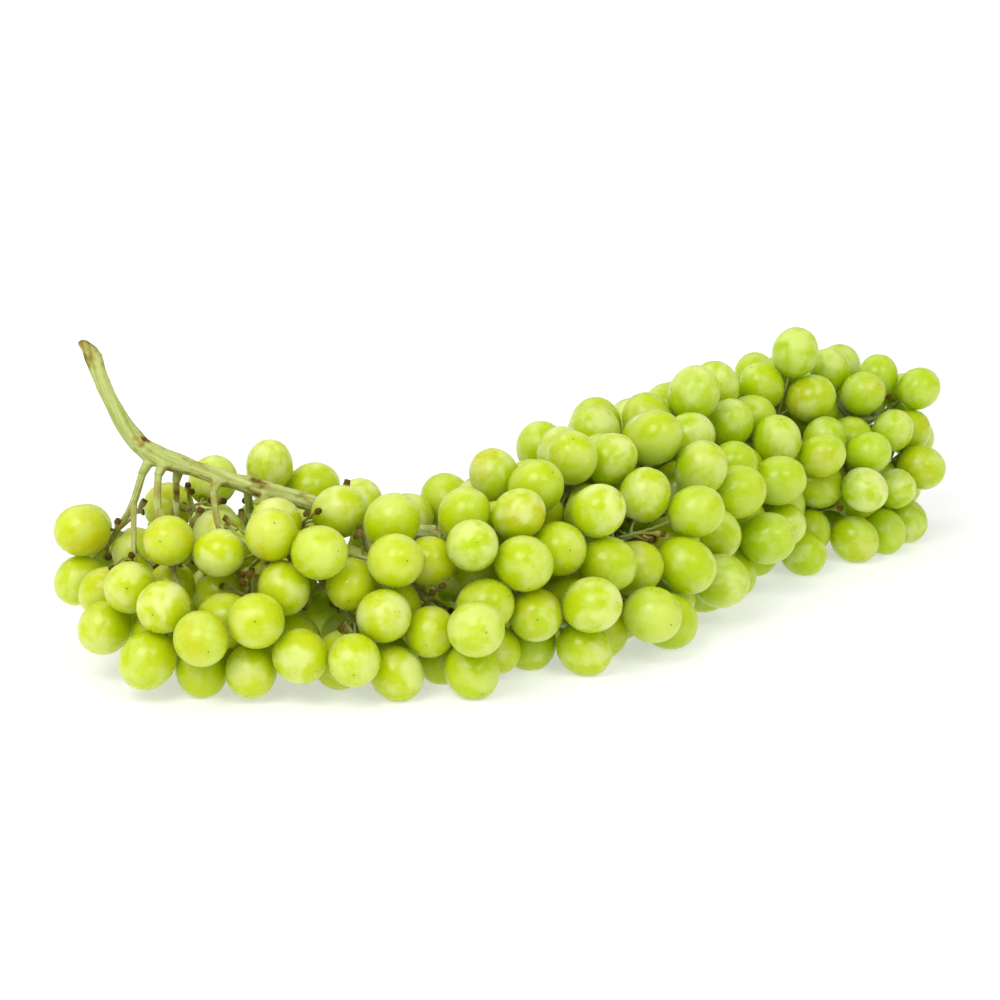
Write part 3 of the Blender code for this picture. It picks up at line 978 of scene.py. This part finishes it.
rachisForm = {
    "steps": 3,
    "resolution": 5,
    "voxel": 0.5 * mm,
    "softening": 0.5,
    "softenTimes": 6,
    "slim": 0.15,                   # thinner halfway to its knee
    "slimPlace": 22 * mm,
    "slimReach": 10 * mm,
    "knob": 0.16,                   # and swollen below the cut
    "knobPlace": 5 * mm,
    "knobReach": 3.5 * mm,
    "tipNarrow": 0.76,
    "collarPoints": 6,
    "collarLength": 4.0 * mm,
    "collarRadius": 2.0 * mm,
    "collarEnd": 1.15,              # in lateral radii
    "kneeKnobLength": 5.0 * mm,
    "kneeKnobRadius": 2.1 * mm,
    "kneeKnobShares": (1, 1, 1, 0.95, 0.8, 0.4),
    "kneeKnobWay": (0.25, -1, -0.15),
    "cutReach": 4 * mm,
    "cutSlant": 0.95,
    "cutEdge": 1.2 * mm,
    "grooves": 6,
    "grooveDepth": 0.13 * mm,
    "grooveWander": 4.5,
    "wanderLength": 22 * mm,
    "grooveFade": 0.4,
    "fadeLength": 17 * mm,
    "lumpDepth": 0.22 * mm,
    "lumpSize": 5.5 * mm,
    "cutLumps": 2,                  # how much more lumpy it is by the cut
    "cutLumpReach": 5 * mm,
    "plainWood": 0.08,
    "cutBrown": 0.50,
    "cutBrownReach": 1.6 * mm,
    "cutTan": 0.28,
    "cutTanReach": 9 * mm,
    "scarStretch": 2.2 * mm,
    "scarRound": 2.5,
    "scarRagged": 0.9,
    "scarTurn": 0.5,                # a scar covers what faces its way at least this much
    "scarEdge": 3,
    # old brown scars: how far along in mm, how long in mm, how brown, and which way they face
    "scars": ((6, 8, 0.5, (-0.8, -0.5, 0)), (9, 10, 0.4, (0.9, -0.3, 0.1)),
              (22, 20, 0.3, (0.9, 0.1, 0.3)), (35, 9, 0.6, (0.9, 0.1, 0.3)),
              (38, 5, 0.6, (0.3, -0.9, 0.1)), (39, 4, 0.7, (0.4, 0, 0.9)),
              (52, 24, 0.5, (0, -0.6, -0.7)), (60, 14, 0.35, (0, -0.1, 1)),
              (72, 22, 0.6, (0, -0.7, -0.5)), (79, 8, 0.7, (0, -0.5, 0.8)),
              (96, 12, 0.5, (0, -0.6, 0.7)), (104, 30, 0.5, (0, -0.7, -0.5)),
              (116, 9, 0.6, (0, 0, 1)), (134, 14, 0.5, (0, -0.4, 0.9))),
}


# how strongly a place counts that lies so far from a middle
def fade(distance, reach):
    return math.exp(-(distance / reach) ** 2)


# a finer line than the bunch's own, and the stalk's radius at each of its points
def rachisCourse():
    steps = rachisForm["steps"]
    line = smoothLine(rachisLine, steps)
    sizes = []
    along = 0.0
    for k, place in enumerate(line):
        i, part = divmod(k, steps)
        after = min(i + 1, len(rachisSizes) - 1)
        along += math.dist(place, line[max(k - 1, 0)])
        slim = rachisForm["slim"] * fade(along - rachisForm["slimPlace"], rachisForm["slimReach"])
        knob = rachisForm["knob"] * fade(along - rachisForm["knobPlace"], rachisForm["knobReach"])
        size = rachisSizes[i] + (rachisSizes[after] - rachisSizes[i]) * part / steps
        sizes.append(size * (1 - slim + knob))
    sizes[0] *= rachisForm["tipNarrow"]
    return line, sizes


# the swelling of the rachis where a lateral leaves it
def makeCollar(spray):
    root, start = spray["root"], spray["stalk"][0]
    count = rachisForm["collarPoints"]
    end = plus(start, unit(minus(start, root)), rachisForm["collarLength"])
    endRadius = bunch["lateralRadius"] * rachisForm["collarEnd"]
    radii = [rachisForm["collarRadius"] + (endRadius - rachisForm["collarRadius"]) * k / (count - 1)
             for k in range(count)]
    return tube("collar", straight(root, end, count), radii, [0.0] * count, resolution=3)


# the knob at the front of the knee
def makeKneeKnob():
    middle = placed(knee)
    end = plus(middle, unit(rachisForm["kneeKnobWay"]), rachisForm["kneeKnobLength"])
    radii = [rachisForm["kneeKnobRadius"] * share for share in rachisForm["kneeKnobShares"]]
    return tube("kneeKnob", straight(middle, end, len(radii)), radii, [0.0] * len(radii), resolution=3)


def makeRachis(sprays, material):
    line, sizes = rachisCourse()
    plain = [0.0] * len(line)
    pieces = [tube("rachis", line, sizes, plain, rachisForm["resolution"])]
    pieces += [makeCollar(spray) for spray in sprays]
    pieces.append(makeKneeKnob())
    obj = joinAs("rachis_bark", pieces)
    obj.data.materials.clear()
    for name in ("wood", "grain"):
        obj.data.attributes.remove(obj.data.attributes[name])
    remesh = obj.modifiers.new("Fuse", "REMESH")
    remesh.mode = "VOXEL"
    remesh.voxel_size = rachisForm["voxel"]
    soften = obj.modifiers.new("Soften", "SMOOTH")
    soften.factor = rachisForm["softening"]
    soften.iterations = rachisForm["softenTimes"]
    applyModifiers(obj)
    bpy.ops.object.shade_smooth()
    points, along, spokes = paintAlong(obj.data, line, plain)
    paintScars(obj.data, along, spokes)
    raiseBark(obj.data, points, along, spokes)
    obj.data.materials.append(material)
    return obj


# brown at the cut, and in ragged scars that run along the stalk
def paintScars(mesh, along, spokes):
    ragged = np.array([noise.noise(Vector((s, *spoke[1:]))) for s, spoke in
                       zip(along / rachisForm["scarStretch"], spokes * rachisForm["scarRound"])])
    wood = np.full(len(along), rachisForm["plainWood"])
    wood += rachisForm["cutBrown"] * np.exp(-(along / rachisForm["cutBrownReach"]) ** 2)
    wood += rachisForm["cutTan"] * np.exp(-(along / rachisForm["cutTanReach"]) ** 2)
    for place, length, brown, way in rachisForm["scars"]:
        near = np.exp(-((along / mm - place) / (0.5 * length)) ** 2)
        facing = spokes @ np.array(unit(way))
        facing = np.clip((facing - rachisForm["scarTurn"]) * rachisForm["scarEdge"], 0, 1)
        wood += brown * np.clip(near * facing + rachisForm["scarRagged"] * ragged * near, 0, 1)
    mesh.attributes["wood"].data.foreach_set("value", wood.astype(np.float32))


# long grooves and low lumps of the bark, raised in the mesh, and the slanting cut
def raiseBark(mesh, points, along, spokes):
    for vert, place, s, spoke in zip(mesh.vertices, points, along, spokes):
        angle = math.atan2(spoke[1], spoke[2])
        wander = rachisForm["grooveWander"] * noise.noise((s / rachisForm["wanderLength"], 0, 0))
        shallow = rachisForm["grooveFade"] * (math.sin(s / rachisForm["fadeLength"]) - 1)
        groove = math.sin(rachisForm["grooves"] * angle + wander) * (1 + shallow)
        lump = noise.noise(Vector(place) / rachisForm["lumpSize"])
        lump *= 1 + rachisForm["cutLumps"] * math.exp(-s / rachisForm["cutLumpReach"])
        vert.co += Vector(spoke) * (rachisForm["grooveDepth"] * groove + rachisForm["lumpDepth"] * lump)
        past = max(0, place[0] - rachisLine[0][0] + rachisForm["cutEdge"])
        vert.co.z -= fade(s, rachisForm["cutReach"]) * rachisForm["cutSlant"] * past


print("making materials")
skinLook = skinMaterial()
stalkLook = stalkMaterial()

print("modelling the rachis")
rachisPiece = makeRachis(sprays, stalkLook)
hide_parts("rachis")
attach(rachisPiece, body)

print("modelling the berries and their stalks")
pattern = berryPattern()
draw = random.Random(berryForm["seed"])
for number, spray in enumerate(sprays, 1):
    node = f"spray_{number:02d}"
    fruit = joinAs(f"berries_{number:02d}", [makeBerry(pattern, berry, draw) for berry in spray["berries"]])
    fruit.data.materials.clear()
    fruit.data.materials.append(skinLook)
    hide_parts(node)
    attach(fruit, body)
    stems = joinAs(f"stalks_{number:02d}", makeStalks(spray, draw))
    stems.data.materials.clear()
    stems.data.materials.append(stalkLook)
    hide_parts(node)
    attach(stems, body)
bpy.data.objects.remove(pattern)

studio = {
    "floorSize": 14,
    "floorDrop": 0.2 * mm,
    "floorColour": (0.58, 0.58, 0.58, 1),
    "floorRoughness": 0.6,
    "floorGlow": 0.48,              # a white table lit from below as well, more toward its far end
    "farGlow": 1.05,
    "glowReach": (0.22, 1.1),
    "white": (1, 1, 1, 1),
    "worldStrength": 0.58,
    "lampAim": (0, 0, 0.03),
    # each lamp's name, place, size and power
    "lamps": (("lampLeft", (-0.70, -0.46, 0.90), (0.6, 0.6), 7.4),
              ("lampRight", (0.06, -0.90, 0.85), (0.5, 0.5), 3.2),
              ("lampBack", (-0.25, 0.8, 1.2), (1.4, 0.9), 4.2)),
    "cameraPlace": (-0.3848, -0.6939, 0.243),
    "cameraTurn": (75.5, 0, -27),
    "lens": 86.4,
    "sensor": 36,
}


def makeFloor():
    deselectAll()
    bpy.ops.mesh.primitive_plane_add(size=studio["floorSize"], location=(0, 0, -studio["floorDrop"]))
    floor = bpy.context.object
    floor.name = "floor"
    material, tree, shader = newMaterial("floor_white")
    setSockets(shader, {"Base Color": studio["floorColour"], "Roughness": studio["floorRoughness"],
                        "Emission Color": studio["white"]})
    length = addNode(tree, "ShaderNodeVectorMath", operation="LENGTH")
    tree.links.new(addNode(tree, "ShaderNodeTexCoord").outputs["Object"], length.inputs[0])
    glow = ranged(tree, length.outputs["Value"], *studio["glowReach"], studio["floorGlow"], studio["farGlow"])
    tree.links.new(glow, shader.inputs["Emission Strength"])
    floor.data.materials.append(material)


def softBox(name, place, size, power):
    data = bpy.data.lights.new(name, "AREA")
    data.shape = "RECTANGLE"
    data.size, data.size_y = size
    data.energy = power
    lamp = bpy.data.objects.new(name, data)
    lamp.location = place
    lamp.rotation_euler = (Vector(studio["lampAim"]) - Vector(place)).to_track_quat("-Z", "Y").to_euler()
    bpy.context.scene.collection.objects.link(lamp)


def makeWorld():
    world = bpy.data.worlds.new("studio")
    world.use_nodes = True
    setSockets(world.node_tree.nodes["Background"],
               {"Color": studio["white"], "Strength": studio["worldStrength"]})
    bpy.context.scene.world = world
    bpy.context.scene.view_settings.view_transform = "Standard"


def makeCamera():
    data = bpy.data.cameras.new("camera")
    data.lens = studio["lens"]
    data.sensor_width = studio["sensor"]
    camera = bpy.data.objects.new("camera", data)
    camera.location = studio["cameraPlace"]
    camera.rotation_euler = [math.radians(a) for a in studio["cameraTurn"]]
    bpy.context.scene.collection.objects.link(camera)
    bpy.context.scene.camera = camera


print("setting up the studio")
makeFloor()
for lamp in studio["lamps"]:
    softBox(*lamp)
makeWorld()
makeCamera()
